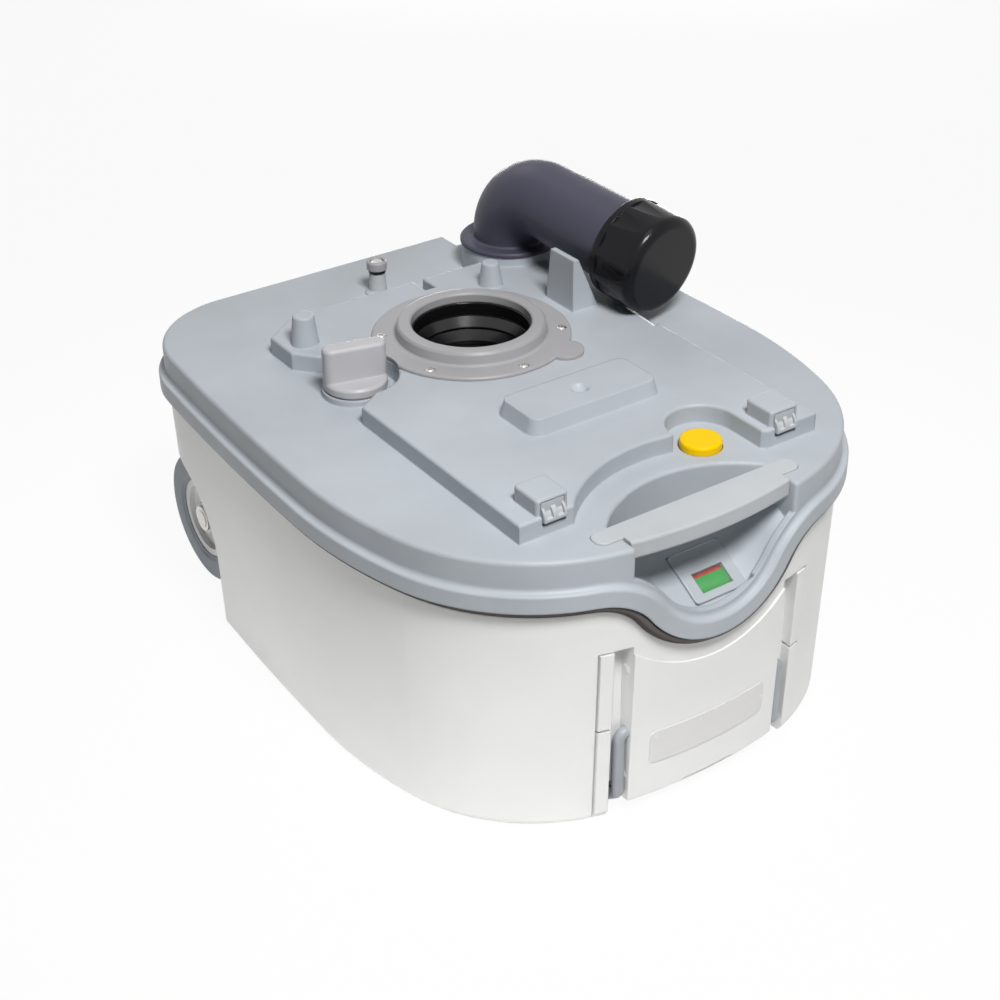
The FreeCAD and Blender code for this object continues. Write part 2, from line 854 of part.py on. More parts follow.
def front_panel():
    side_z = smile_z + smile_radius - math.sqrt(smile_radius ** 2 - channel_in_x ** 2)
    left, right = -channel_in_x, channel_in_x
    edge = panel_corner * math.sqrt(0.5)
    centre_z = panel_low_z + panel_corner
    y = -far
    edges = [
        Part.Arc(V(left, y, side_z), V(0, y, smile_z), V(right, y, side_z)).toShape(),
        Part.makeLine(V(right, y, side_z), V(right, y, centre_z)),
        Part.Arc(V(right, y, centre_z), V(right - panel_corner + edge, y, centre_z - edge),
                 V(right - panel_corner, y, panel_low_z)).toShape(),
        Part.makeLine(V(right - panel_corner, y, panel_low_z), V(left + panel_corner, y, panel_low_z)),
        Part.Arc(V(left + panel_corner, y, panel_low_z), V(left + panel_corner - edge, y, centre_z - edge),
                 V(left, y, centre_z)).toShape(),
        Part.makeLine(V(left, y, centre_z), V(left, y, side_z)),
    ]
    panel = Part.Face(Part.Wire(edges)).extrude(V(0, far + panel_hollow_y - 1, 0))
    return panel.common(tub_skin(panel_rise))


def front_flaps():
    skin = tub_skin(flap_rise)
    flaps = []
    for low, high in ((panel_low_z, flap_gap_z), (flap_gap_z + flap_gap, channel_top_z - line_width)):
        flap = box(channel_out_x - 1, flap_out_x, -far, front_block_y, low, high).common(skin)
        flaps += [flap, mirrored(flap)]
    return flaps


def tub_front_cuts():
    channel = box(channel_in_x, channel_out_x, -far, channel_floor_y, -1, channel_top_z)
    back = handle_bar_y + handle_radius + handle_gap
    channel = channel.fuse(box(channel_in_x, channel_out_x, -far, back, -1, handle_knee_z + 6))
    flap_line = box(flap_out_x, flap_out_x + line_width, -far, 0, -1, channel_top_z)
    flap_top = box(channel_out_x - 1, flap_out_x + line_width, -far, 0,
                   channel_top_z - line_width, channel_top_z)
    skin = plan_solid(far / 10, -1, seam_z).cut(plan_solid(-tub_base_inset - line_depth, -1, seam_z))
    lines = flap_line.fuse(flap_top).common(skin)
    slot_line = box(slot_line_left_x, slot_line_right_x, -far, 0, slot_line_z - line_width / 2,
                    slot_line_z + line_width / 2).common(skin)
    gap = box(channel_out_x - 1, flap_out_x, -far, channel_floor_y, flap_gap_z, flap_gap_z + flap_gap)
    sweep = rod_x(-channel_out_x, channel_out_x, handle_y, handle_z, bar_reach() + handle_gap)
    core = bar_reach() - 2 * handle_radius - handle_gap
    sweep = sweep.cut(rod_x(-far, far, handle_y, handle_z, core))
    sweep = sweep.common(box(-far, far, -far, back, -1, handle_bar_z + handle_radius + 4))
    pin = rod_x(handle_pin_x - 0.6, channel_out_x, handle_y, handle_z, handle_radius + run_fit)
    return [slot_line, sweep, both_sides(channel), both_sides(lines), both_sides(gap), both_sides(pin)]


def bar_reach():
    return math.hypot(handle_bar_y - handle_y, handle_bar_z - handle_z) + handle_radius


def detents():
    bumps = []
    for z in detent_z:
        ball = Part.makeSphere(8, V(channel_in_x + detent_height - 8, handle_y + 1, z))
        ball = ball.common(box(channel_in_x - 1, far, -far, far, 0, far))
        bumps += [ball, mirrored(ball)]
    return bumps


def lower_shell():
    tub = tub_block().multiFuse([front_panel()] + front_flaps()).cut(tub_hollow())
    tub = tub.cut(both_sides(well_shape(0)))
    bore = rod_x(axle_root_x, well_in_x + 1, wheel_y, wheel_z, axle_radius + seat_gap)
    tub = tub.cut(Part.makeCompound(tub_front_cuts() + [both_sides(bore)]))
    return tub.multiFuse(detents())


def label_plate():
    plate = box(-label_half, label_half, -far, 0, label_low_z, label_high_z)
    corners = [e for e in plate.Edges if abs(e.Vertexes[0].Y - e.Vertexes[1].Y) > 1]
    plate = plate.makeFillet(label_round, corners)
    return tub_skin(panel_rise + label_thickness).cut(tub_skin(panel_rise)).common(plate)


def mouth_ring():
    low = platform_z
    ring = turned([
        (mouth_radius, seal_top_z + seat_gap), (seal_radius + seat_gap, seal_top_z + seat_gap),
        (seal_radius + seat_gap, low), (ring_flange_radius, low),
        (ring_flange_radius, low + ring_flange - 0.8), (ring_flange_radius - 0.8, low + ring_flange),
        (ring_collar_radius + 2.5, low + ring_flange), (ring_collar_radius + 1, low + ring_flange + 1),
        (ring_collar_radius, mouth_top_z - 2), (ring_collar_radius - 1.2, mouth_top_z - 0.4),
        (ring_collar_radius - 2.5, mouth_top_z), (mouth_radius + 1.2, mouth_top_z),
        (mouth_radius, mouth_top_z - 1.2)], mouth_x, mouth_y)
    turn = math.radians(ring_ear_angle)
    ear = rod(mouth_x + ring_ear_reach * math.cos(turn), mouth_y + ring_ear_reach * math.sin(turn),
              low, low + ring_flange, ring_ear_radius)
    ring = ring.fuse(ear).cut(rod(knob_x, knob_y, 0, far, knob_recess_radius))
    for x, y in screw_places():
        ring = ring.cut(rod(x, y, 0, far, screw_radius + seat_gap))
        ring = ring.cut(rod(x, y, low + ring_flange - screw_head / 2, far, screw_head_radius + seat_gap))
    return ring


def ring_screws():
    screws = []
    for x, y in screw_places():
        seat = platform_z + ring_flange - screw_head / 2
        shank = rod(x, y, platform_z - screw_length + 1, seat, screw_radius)
        head = turned([(0, seat), (screw_head_radius, seat), (screw_head_radius, seat + screw_head / 2),
                       (screw_head_radius - 1, seat + screw_head), (0, seat + screw_head)], x, y)
        slot = box(x - 1.8, x + 1.8, y - 0.4, y + 0.4, seat + screw_head - 0.6, far)
        slot = slot.fuse(box(x - 0.4, x + 0.4, y - 1.8, y + 1.8, seat + screw_head - 0.6, far))
        screws.append(shank.fuse(head).cut(slot))
    return Part.makeCompound(screws)


def lip_seal():
    top = platform_z
    low = blade_top_z + free_gap
    tall = top - low
    band = mouth_radius - seal_step
    return turned([
        (band, seal_top_z), (seal_radius, seal_top_z), (seal_radius, top), (seal_flange_radius, top),
        (seal_flange_radius, top - seal_flange), (seal_radius, top - seal_flange),
        (seal_radius, low + tall * 0.17), (seal_radius - seal_lip * 0.4, low),
        (band - seal_lip * 0.9, low), (band - seal_lip, low + tall * 0.13),
        (band - seal_lip * 0.3, low + tall * 0.42), (band, low + tall * 0.44), (band, low + tall * 0.49),
        (band - seal_lip * 0.7, low + tall * 0.51), (band + seal_lip * 0.1, low + tall * 0.78),
        (band + seal_lip * 0.3, low + tall * 0.80), (band + seal_lip * 0.3, low + tall * 0.85),
        (band - seal_lip * 0.1, low + tall * 0.87)], mouth_x, mouth_y)


def valve_knob():
    low, high = knob_low_z, knob_high_z
    disc = turned([
        (0, low), (knob_radius - 1, low), (knob_radius, low + 1), (knob_radius, high - 1.5),
        (knob_radius - 1.5, high), (0, high)], knob_x, knob_y)
    fin = rounded_plate(-knob_fin_length / 2, knob_fin_length / 2, -knob_fin_width / 2,
                        knob_fin_width / 2, high - 1, knob_top_z, knob_fin_width * 0.45)
    fin = round_top(fin, knob_top_z, 2.5)
    fin.rotate(V(0, 0, 0), V(0, 0, 1), knob_turn)
    fin.translate(V(knob_x, knob_y, 0))
    return disc.fuse(fin).cut(rod(knob_x, knob_y, 0, high - 1, shaft_radius + seat_gap))


def valve_shaft():
    shaft = rod(knob_x, knob_y, blade_top_z - blade_hub - 2, knob_high_z - 1.2, shaft_radius)
    return shaft.cut(rod(knob_x, knob_y, 0, blade_top_z - blade_hub + 8, screw_radius + seat_gap))


def valve_blade():
    low = blade_top_z - blade_thickness
    disc = rod(mouth_x, mouth_y, low, blade_top_z, blade_radius)
    arm = box(0, math.hypot(mouth_x - knob_x, mouth_y - knob_y), -blade_hub_radius, blade_hub_radius,
              low, blade_top_z)
    rib = box(0, blade_rib_length, -2, 2, low - blade_rib, low + 1)
    arm = arm.fuse(rib)
    arm.rotate(V(0, 0, 0), V(0, 0, 1), math.degrees(math.atan2(mouth_y - knob_y, mouth_x - knob_x)))
    arm.translate(V(knob_x, knob_y, 0))
    hub = rod(knob_x, knob_y, blade_top_z - blade_hub, blade_top_z + 1, blade_hub_radius)
    return disc.fuse(arm).fuse(hub).cut(rod(knob_x, knob_y, 0, far, shaft_radius + seat_gap))


def shaft_screw():
    low = blade_top_z - blade_hub - 2
    head = rod(knob_x, knob_y, low - 2.5, low, blade_hub_radius - 3)
    head = head.cut(box(knob_x - 6, knob_x + 6, knob_y - 0.8, knob_y + 0.8, 0, low - 1.4))
    return head.fuse(rod(knob_x, knob_y, low - 1, low + 9, screw_radius))


def vent_button():
    low = button_top_z - button_depth
    cap = turned([
        (0, low), (button_radius, low), (button_radius, button_top_z - 1.6),
        (button_radius - 0.5, button_top_z - 0.5), (button_radius - 1.6, button_top_z),
        (0, button_top_z)], button_x, button_y)
    return cap.cut(rod(button_x, button_y, 0, button_top_z - 3, stem_radius + seat_gap))


def button_stem():
    low = button_cup_floor_z - button_valve - free_gap
    stem = rod(button_x, button_y, low - button_valve, button_top_z - 3.2, stem_radius)
    return stem.fuse(rod(button_x, button_y, low - button_valve, low, button_valve_radius))


def button_seal():
    low = button_cup_floor_z - button_valve - free_gap
    return tube(button_x, button_y, low, low + button_valve, stem_radius + seat_gap,
                button_valve_radius - 0.5)


def button_spring():
    low = button_cup_floor_z + button_cup_floor
    spring = coil(8.0, 0.6, button_top_z - button_depth - low - 0.2, 3)
    spring.translate(V(button_x, button_y, low + 0.1))
    return spring


def vent_post():
    top = deck_z + vent_post_height
    post = cone(vent_x, vent_y, deck_z, top, vent_base_radius, vent_top_radius)
    foot = cone(vent_x, vent_y, deck_z, deck_z + vent_foot, vent_foot_radius, vent_base_radius - 0.2)
    post = post.fuse(foot)
    post = post.fuse(rod(vent_x, vent_y, deck_z - wall, deck_z, plunger_head_radius + free_gap - seat_gap))
    room = rod(vent_x, vent_y, deck_z + 3, top - 2, plunger_head_radius - 0.2)
    return post.cut(room).cut(rod(vent_x, vent_y, 0, far, plunger_radius + run_fit))


def vent_ring():
    low = deck_z + vent_post_height
    return tube(vent_x, vent_y, low, low + vent_ring_height, plunger_radius + free_gap, vent_ring_radius)


def vent_cap():
    low = deck_z + vent_post_height + vent_ring_height
    high = low + vent_cap_height
    return turned([
        (plunger_radius + free_gap, low), (vent_cap_radius - 0.6, low), (vent_cap_radius, low + 0.6),
        (vent_cap_radius, high - 1), (vent_cap_radius - 1, high),
        (plunger_head_radius + free_gap + 0.4, high), (plunger_head_radius + free_gap, high - 0.6),
        (plunger_head_radius + free_gap, low + 1), (plunger_radius + free_gap, low + 1)],
        vent_x, vent_y)


def vent_plunger():
    high = deck_z + vent_post_height + vent_ring_height + vent_cap_height - 0.4
    pin = turned([
        (0, deck_z - wall - 4), (plunger_radius, deck_z - wall - 4), (plunger_radius, high - plunger_head),
        (plunger_head_radius, high - plunger_head), (plunger_head_radius, high - 0.5),
        (plunger_head_radius - 1, high), (0, high)], vent_x, vent_y)
    low = deck_z - wall - free_gap
    disc = rod(vent_x, vent_y, low - 3, low, plunger_head_radius + 3)
    collar = rod(vent_x, vent_y, deck_z + vent_post_height - 4, deck_z + vent_post_height - 2.4,
                 plunger_head_radius - 0.6)
    return pin.fuse(disc).fuse(collar)


def plunger_spring():
    low = deck_z + 3
    spring = coil(3.3, 0.35, vent_post_height - 4 - 3 - 0.1, 5)
    spring.translate(V(vent_x, vent_y, low + 0.05))
    return spring


def spout_axis():
    turn = math.radians(spout_azimuth)
    drop = math.radians(spout_drop)
    return V(math.sin(turn) * math.cos(drop), -math.cos(turn) * math.cos(drop), -math.sin(drop))


def spout_bend_end():
    turn = math.radians(spout_azimuth)
    drop = math.radians(spout_drop)
    reach = spout_bend_radius * (1 + math.sin(drop))
    height = spout_top_z - spout_bend_radius * (1 - math.cos(drop))
    return V(spout_x + reach * math.sin(turn), spout_y - reach * math.cos(turn), height)


def along_spout(start, end, radius):
    return Part.makeCylinder(radius, end - start, spout_bend_end() + spout_axis() * start, spout_axis())


def spout_bend(radius):
    turn = math.radians(spout_azimuth)
    low = spout_top_z - spout_bend_radius
    face = Part.Face(Part.Wire([Part.makeCircle(radius, V(spout_x, spout_y, low))]))
    pivot = V(spout_x + spout_bend_radius * math.sin(turn), spout_y - spout_bend_radius * math.cos(turn), low)
    return face.revolve(pivot, V(math.cos(turn), math.sin(turn), 0), 90 + spout_drop)


def spout():
    low = spout_top_z - spout_bend_radius
    flange_top = spout_collar_z + spout_flange
    body = turned([
        (0, spout_spigot_z), (spout_spigot_radius, spout_spigot_z), (spout_spigot_radius, spout_collar_z),
        (spout_flange_radius, spout_collar_z), (spout_flange_radius, flange_top - spout_foot),
        (spout_flange_radius - spout_foot, flange_top), (spout_radius + spout_foot, flange_top),
        (spout_radius, flange_top + spout_foot), (spout_radius, low), (0, low)], spout_x, spout_y)
    taper = Part.makeCone(spout_radius, spout_neck_radius, spout_cone_length, spout_bend_end(), spout_axis())
    body = body.fuse(spout_bend(spout_radius)).fuse(taper)
    body = body.fuse(along_spout(spout_cone_length, spout_neck_end, spout_neck_radius))
    bore = spout_radius - spout_wall
    body = body.cut(rod(spout_x, spout_y, 0, low, bore)).cut(spout_bend(bore))
    body = body.cut(along_spout(0, far, bore))
    middle = (spout_collar_z + deck_z - wall) / 2
    groove = tube(spout_x, spout_y, middle - 1.5, middle + 1.5, spout_spigot_radius - 1.2, far)
    return body.cut(groove.common(rod(spout_x, spout_y, middle - 2, middle + 2, spout_spigot_radius + 0.5)))


def spout_seal():
    middle = (spout_collar_z + deck_z - wall) / 2
    return tube(spout_x, spout_y, middle - 1.3, middle + 1.3, spout_spigot_radius - 1.1, spout_spigot_radius)


def spout_retainer():
    return tube(spout_x, spout_y, spout_spigot_z + 0.5, spout_spigot_z + 0.5 + spout_retainer_height,
                spout_spigot_radius, spout_retainer_radius)


def spout_cap():
    roof = spout_neck_end + cap_seal + 0.4
    cap = along_spout(cap_start, cap_end, cap_radius)
    front = spout_bend_end() + spout_axis() * cap_end
    rims = [e for e in cap.Edges if e.Curve.TypeId == "Part::GeomCircle"]
    rims.sort(key=lambda e: e.Curve.Center.distanceToPoint(front))
    cap = cap.makeFillet(cap_back_round, rims[1:])
    rims = [e for e in cap.Edges if e.Curve.TypeId == "Part::GeomCircle"]
    rims = [e for e in rims if e.Curve.Center.distanceToPoint(front) < 1e-6]
    cap = cap.makeFillet(cap_front_round, rims)
    cap = cap.cut(along_spout(cap_start - 1, roof, spout_neck_radius + free_gap))
    side = V(1, 0, 0).cross(spout_axis()).normalize()
    reach = cap_radius + cap_flute_radius
    start = spout_bend_end() + spout_axis() * (cap_start + cap_flute_start) + side * (reach - cap_flute_depth)
    end = spout_bend_end() + spout_axis() * (cap_end - cap_flute_end) + side * (reach + 0.1)
    flute = Part.makeCylinder(cap_flute_radius, (end - start).Length, start, end - start)
    cuts = []
    for i in range(cap_flutes):
        cut = flute.copy()
        cut.rotate(spout_bend_end(), spout_axis(), 360 * i / cap_flutes)
        cuts.append(cut)
    return cap.cut(Part.makeCompound(cuts))


def cap_seal_disc():
    start = spout_neck_end + 0.3
    return along_spout(start, start + cap_seal, spout_neck_radius)


def grip():
    reach = pocket_half_width - free_gap
    front = plan_solid(-grip_inset, grip_lip_z, grip_top_z)
    inner = plan_solid(-grip_inset - grip_lip, grip_lip_z, grip_top_z - grip_plate)
    bar = front.cut(inner).common(box(-reach, reach, -far, grip_back_y, 0, far))
    edges = [e for e in bar.Edges if e.Length > reach]
    bar = bar.makeFillet(grip_round, edges)
    tabs = rounded_plate(-grip_tab_reach, grip_tab_reach, grip_tab_front_y, grip_back_y,
                         deck_z - grip_tab + 0.05, grip_top_z, grip_tab_round)
    tabs = round_top(tabs, grip_top_z, 0.8)
    peg = rod(grip_peg_x, (grip_tab_front_y + grip_back_y) / 2, deck_z - grip_tab - grip_peg,
              grip_top_z - 1, grip_peg_radius)
    return bar.fuse(tabs).fuse(both_sides(peg))


def gauge_panel_plate():
    half_x, half_y = gauge_panel_x / 2, gauge_panel_y / 2
    high = gauge_panel - gauge_panel_sink
    plate = rounded_plate(-half_x, half_x, gauge_panel_shift - half_y, gauge_panel_shift + half_y,
                          -gauge_panel_sink, high, 3)
    plate = round_top(plate, high, 1.0)
    half_x, half_y = gauge_window_x / 2 + seat_gap, gauge_window_y / 2 + seat_gap
    return gauge_place(plate.cut(box(-half_x, half_x, -half_y, half_y, -9, 9)))


def gauge_window_plate():
    half_x, half_y = gauge_window_x / 2, gauge_window_y / 2
    high = gauge_panel - gauge_panel_sink - 0.2
    return gauge_place(rounded_plate(-half_x, half_x, -half_y, half_y, high - gauge_window, high, 1))


def gauge_drum():
    axis = gauge_axis()
    half = gauge_drum_width / 2
    drum = rod_x(gauge_x - half, gauge_x + half, axis.y, axis.z, gauge_drum_radius)
    return drum.cut(rod_x(-far, far, axis.y, axis.z, gauge_axle_radius + run_fit)).cut(arm_rod(0, 0.1))


def gauge_axle():
    axis = gauge_axis()
    ends = gauge_drum_width / 2 + free_gap + gauge_lug - 0.7
    return rod_x(gauge_x - ends, gauge_x + ends, axis.y, axis.z, gauge_axle_radius)


def arm_end():
    turn = math.radians(float_arm_droop)
    return gauge_axis() + V(0, math.cos(turn), -math.sin(turn)) * float_arm_length


def arm_rod(start, grow):
    turn = math.radians(float_arm_droop)
    line = V(0, math.cos(turn), -math.sin(turn))
    first = gauge_axis() + line * (gauge_drum_radius - 4 + start)
    length = float_arm_length - gauge_drum_radius - float_radius + 10 - start
    return Part.makeCylinder(float_arm_radius + grow, length, first, line)


def float_arm():
    return arm_rod(0.1, 0)


def gauge_float():
    end = arm_end()
    body = rod_x(end.x - float_length / 2, end.x + float_length / 2, end.y, end.z, float_radius)
    edges = [e for e in body.Edges if e.Curve.TypeId == "Part::GeomCircle"]
    return body.makeFillet(3, edges).cut(arm_rod(0, 0.1))


def catch(x):
    back = latch_front_y + catch_depth
    front = latch_front_y - catch_reach
    body = box(x - catch_half_width, x + catch_half_width, latch_front_y, back, catch_low_z, catch_high_z)
    middle_z = catch_low_z + 1
    nose = rod_x(x - catch_half_width, x + catch_half_width, latch_front_y + 5, middle_z, 8.5)
    nose = nose.common(box(-far, far, front, latch_front_y + 1, catch_low_z, catch_high_z))
    for side in (-1, 1):
        valley = rod_x(x + side * 3.7 - 2.2, x + side * 3.7 + 2.2, latch_front_y + 5, middle_z, 20)
        valley = valley.cut(rod_x(-far, far, latch_front_y + 5, middle_z, 6.6))
        nose = nose.cut(valley.common(box(-far, far, -far, latch_front_y + 0.5, catch_low_z + 2, far)))
    return body.fuse(nose)


def catch_spring(x):
    back = latch_front_y + catch_depth
    spring = coil(3.2, 0.45, catch_pocket_y - back - 0.2, 5)
    spring.rotate(V(0, 0, 0), V(1, 0, 0), -90)
    spring.translate(V(x, back + 0.1, (catch_low_z + catch_high_z) / 2))
    return spring


def tow_handle():
    half = [
        V(-handle_pin_x, handle_y, handle_z), V(-handle_x, handle_y, handle_z),
        V(-handle_x, handle_y, handle_knee_z), V(-handle_x, handle_bar_y, handle_bar_z)]
    other = [V(-p.x, p.y, p.z) for p in reversed(half)]
    return bent_rod(half + other, handle_bend, handle_radius)


def tyre():
    ring = rod_x(wheel_in_x, wheel_out_x, wheel_y, wheel_z, wheel_radius)
    edges = [e for e in ring.Edges if e.Curve.TypeId == "Part::GeomCircle"]
    ring = ring.makeFillet(tyre_round, edges)
    return ring.cut(rod_x(0, far, wheel_y, wheel_z, tyre_in_radius))


def hub():
    body = rod_x(wheel_in_x + 1, wheel_out_x - 2, wheel_y, wheel_z, tyre_in_radius)
    dish = rod_x(wheel_out_x - 6, far, wheel_y, wheel_z, tyre_in_radius - 5)
    body = body.cut(dish.cut(rod_x(0, far, wheel_y, wheel_z, clip_radius + 2)))
    return body.cut(rod_x(0, far, wheel_y, wheel_z, axle_radius + run_fit))


def axle():
    return rod_x(axle_root_x, wheel_out_x + 0.6, wheel_y, wheel_z, axle_radius)


def axle_clip():
    low = wheel_out_x - 2 + free_gap
    clip = rod_x(low, low + clip_thickness, wheel_y, wheel_z, clip_radius)
    return clip.cut(rod_x(0, far, wheel_y, wheel_z, axle_radius))


def pair(shape):
    return Part.makeCompound([shape, mirrored(shape)])


os.makedirs("parts", exist_ok=True)
nodes = {
    "lower_shell": lower_shell(),
    "upper_shell": upper_shell(),
    "mouth_ring": mouth_ring(),
    "ring_screws": ring_screws(),
    "lip_seal": lip_seal(),
    "seam_seal": seam_seal(),
    "valve_knob": valve_knob(),
    "valve_shaft": valve_shaft(),
    "valve_blade": valve_blade(),
    "shaft_screw": shaft_screw(),
    "vent_button": vent_button(),
    "button_stem": button_stem(),
    "button_seal": button_seal(),
    "button_spring": button_spring(),
    "vent_post": vent_post(),
    "vent_ring": vent_ring(),
    "vent_cap": vent_cap(),
    "vent_plunger": vent_plunger(),
    "plunger_spring": plunger_spring(),
    "spout": spout(),
    "spout_seal": spout_seal(),
    "spout_retainer": spout_retainer(),
    "spout_cap": spout_cap(),
    "cap_seal": cap_seal_disc(),
    "grip": grip(),
    "gauge_panel": gauge_panel_plate(),
    "gauge_window": gauge_window_plate(),
    "gauge_drum": gauge_drum(),
    "gauge_axle": gauge_axle(),
    "float_arm": float_arm(),
    "gauge_float": gauge_float(),
    "left_catch": catch(-latch_x),
    "right_catch": catch(latch_x),
    "left_catch_spring": catch_spring(-latch_x),
    "right_catch_spring": catch_spring(latch_x),
    "tow_handle": tow_handle(),
    "label_plate": label_plate(),
    "left_tyre": mirrored(tyre()),
    "right_tyre": tyre(),
    "left_hub": mirrored(hub()),
    "right_hub": hub(),
    "wheel_axles": pair(axle()),
    "axle_clips": pair(axle_clip()),
}
for name, shape in nodes.items():
    shape.exportStep("parts/" + name + ".step")
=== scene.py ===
import json
import math

import bmesh
import bpy
from mathutils import Matrix, Vector

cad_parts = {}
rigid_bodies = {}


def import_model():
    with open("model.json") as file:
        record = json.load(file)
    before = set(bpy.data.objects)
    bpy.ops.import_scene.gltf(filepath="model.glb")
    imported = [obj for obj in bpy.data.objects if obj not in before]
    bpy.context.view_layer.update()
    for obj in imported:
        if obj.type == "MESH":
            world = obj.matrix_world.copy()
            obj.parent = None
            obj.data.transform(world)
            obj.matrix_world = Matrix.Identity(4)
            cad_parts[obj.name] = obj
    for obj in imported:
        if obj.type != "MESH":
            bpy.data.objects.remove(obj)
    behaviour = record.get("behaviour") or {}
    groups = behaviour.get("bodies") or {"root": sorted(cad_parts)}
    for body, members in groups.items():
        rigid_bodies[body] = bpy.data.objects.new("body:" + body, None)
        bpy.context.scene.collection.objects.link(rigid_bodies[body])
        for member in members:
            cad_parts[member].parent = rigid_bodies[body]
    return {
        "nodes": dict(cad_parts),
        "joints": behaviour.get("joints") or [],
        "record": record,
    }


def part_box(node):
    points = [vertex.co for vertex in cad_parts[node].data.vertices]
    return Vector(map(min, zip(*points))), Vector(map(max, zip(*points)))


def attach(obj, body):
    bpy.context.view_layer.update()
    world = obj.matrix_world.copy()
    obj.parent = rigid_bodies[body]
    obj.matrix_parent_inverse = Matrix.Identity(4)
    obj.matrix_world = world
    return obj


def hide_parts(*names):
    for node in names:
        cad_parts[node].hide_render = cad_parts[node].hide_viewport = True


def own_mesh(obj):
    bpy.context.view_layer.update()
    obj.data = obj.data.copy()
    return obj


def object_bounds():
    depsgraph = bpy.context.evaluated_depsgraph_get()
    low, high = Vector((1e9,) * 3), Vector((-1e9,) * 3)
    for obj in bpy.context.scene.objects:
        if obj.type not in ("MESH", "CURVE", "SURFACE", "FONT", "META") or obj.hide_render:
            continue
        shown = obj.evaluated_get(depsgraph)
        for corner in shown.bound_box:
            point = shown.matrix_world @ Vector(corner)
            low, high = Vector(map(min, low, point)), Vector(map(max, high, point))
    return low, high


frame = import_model()
cad_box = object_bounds()

MM = 0.001
WHITE = (1.0, 1.0, 1.0, 1.0)
scene = bpy.context.scene


# Colours are written as they look on screen, 0 to 255, and turned to linear light

def linear(colour):
    def channel(value):
        value = value / 255
        return value / 12.92 if value <= 0.04045 else ((value + 0.055) / 1.055) ** 2.4
    return tuple(channel(value) for value in colour) + (1.0,)


def shade(colour, factor):
    return tuple(min(255, value * factor) for value in colour)


# Node helpers, and the range that a noise mostly fills

NOISE_LOW, NOISE_HIGH = 0.3, 0.7


class Graph:
    """The node tree of a material or a world, with short calls to add and join nodes."""

    def __init__(self, owner):
        owner.use_nodes = True
        self.owner = owner
        self.nodes = owner.node_tree.nodes
        self.links = owner.node_tree.links

    def add(self, kind, **settings):
        node = self.nodes.new(kind)
        for key, value in settings.items():
            setattr(node, key, value)
        return node

    def feed(self, value, socket):
        """Joins another node's output to the socket, or writes a plain value there."""
        if isinstance(value, bpy.types.NodeSocket):
            self.links.new(value, socket)
        else:
            socket.default_value = value

    def dress(self, **values):
        """Feeds the main shader's sockets, each named with _ for a space."""
        for name, value in values.items():
            self.feed(value, self.nodes["Principled BSDF"].inputs[name.replace("_", " ")])

    def place(self):
        return self.add("ShaderNodeTexCoord").outputs["Object"]

    def noise(self, scale, detail=2.0, roughness=0.5, stretch=None):
        place = self.place()
        if stretch:
            mapping = self.add("ShaderNodeMapping")
            mapping.inputs["Scale"].default_value = stretch
            self.feed(place, mapping.inputs["Vector"])
            place = mapping.outputs["Vector"]
        node = self.add("ShaderNodeTexNoise")
        node.inputs["Scale"].default_value = scale
        node.inputs["Detail"].default_value = detail
        node.inputs["Roughness"].default_value = roughness
        self.feed(place, node.inputs["Vector"])
        return node.outputs["Fac"]

    def spread(self, value, low, high, to_low, to_high):
        node = self.add("ShaderNodeMapRange")
        node.inputs["From Min"].default_value = low
        node.inputs["From Max"].default_value = high
        node.inputs["To Min"].default_value = to_low
        node.inputs["To Max"].default_value = to_high
        self.feed(value, node.inputs["Value"])
        return node.outputs["Result"]

    def vary(self, noise, to_low, to_high):
        """Spreads a noise over the range that it mostly fills."""
        return self.spread(noise, NOISE_LOW, NOISE_HIGH, to_low, to_high)

    def mix(self, factor, first, second):
        node = self.add("ShaderNodeMix", data_type="RGBA")
        colours_in = [socket for socket in node.inputs if socket.type == "RGBA"]
        colour_out = [socket for socket in node.outputs if socket.type == "RGBA"][0]
        self.feed(factor, node.inputs["Factor"])
        self.feed(first, colours_in[0])
        self.feed(second, colours_in[1])
        return colour_out

    def math(self, operation, first, second):
        node = self.add("ShaderNodeMath", operation=operation)
        self.feed(first, node.inputs[0])
        self.feed(second, node.inputs[1])
        return node.outputs[0]

    def soft_normal(self, radius):
        node = self.add("ShaderNodeBevel", samples=4)
        node.inputs["Radius"].default_value = radius
        return node.outputs["Normal"]

    def bump(self, height, strength, distance, normal):
        node = self.add("ShaderNodeBump")
        node.inputs["Strength"].default_value = strength
        node.inputs["Distance"].default_value = distance
        self.feed(height, node.inputs["Height"])
        self.feed(normal, node.inputs["Normal"])
        return node.outputs["Normal"]

    def edge_mask(self, normal, sharp, flat):
        """1 along convex and concave edges, 0 on open faces."""
        true_normal = self.add("ShaderNodeNewGeometry").outputs["Normal"]
        dot = self.add("ShaderNodeVectorMath", operation="DOT_PRODUCT")
        self.feed(normal, dot.inputs[0])
        self.feed(true_normal, dot.inputs[1])
        return self.spread(dot.outputs["Value"], flat, sharp, 0.0, 1.0)


def material_graph(name):
    return Graph(bpy.data.materials.new(name))


# Materials

